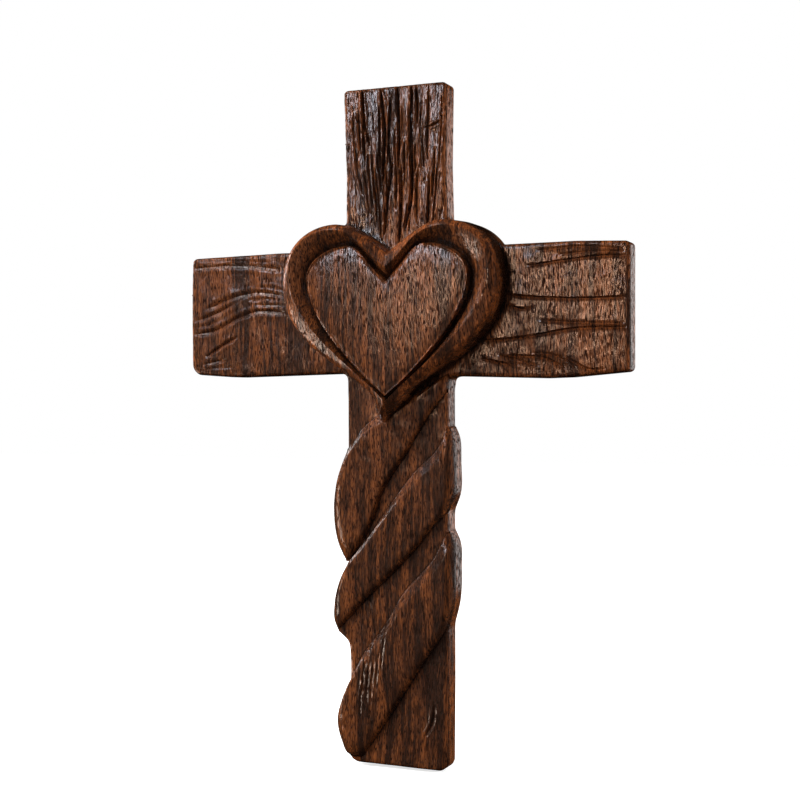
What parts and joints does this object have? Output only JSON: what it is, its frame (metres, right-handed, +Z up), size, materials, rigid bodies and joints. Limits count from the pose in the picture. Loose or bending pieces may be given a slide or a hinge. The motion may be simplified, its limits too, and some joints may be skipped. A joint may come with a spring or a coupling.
{
  "type": "wooden heart cross",
  "caption": "Carved wooden wall cross with a raised heart on the crossing and flat strands wound round the stem.",
  "frame": {"origin": "on the flat back, behind the middle of the heart, on the stem's centre line", "axes": "+Z up along the stem to the top arm, +Y out of the back into the wall, +X along the arms to the right as seen from the front; the carving faces -Y"},
  "size_m": [0.21, 0.025, 0.303],
  "materials": {
    "walnut": "dark stained and oiled, half glossy"
  },
  "bodies": {
    "root": {"carved_cross": "walnut"}
  },
  "joints": []
}
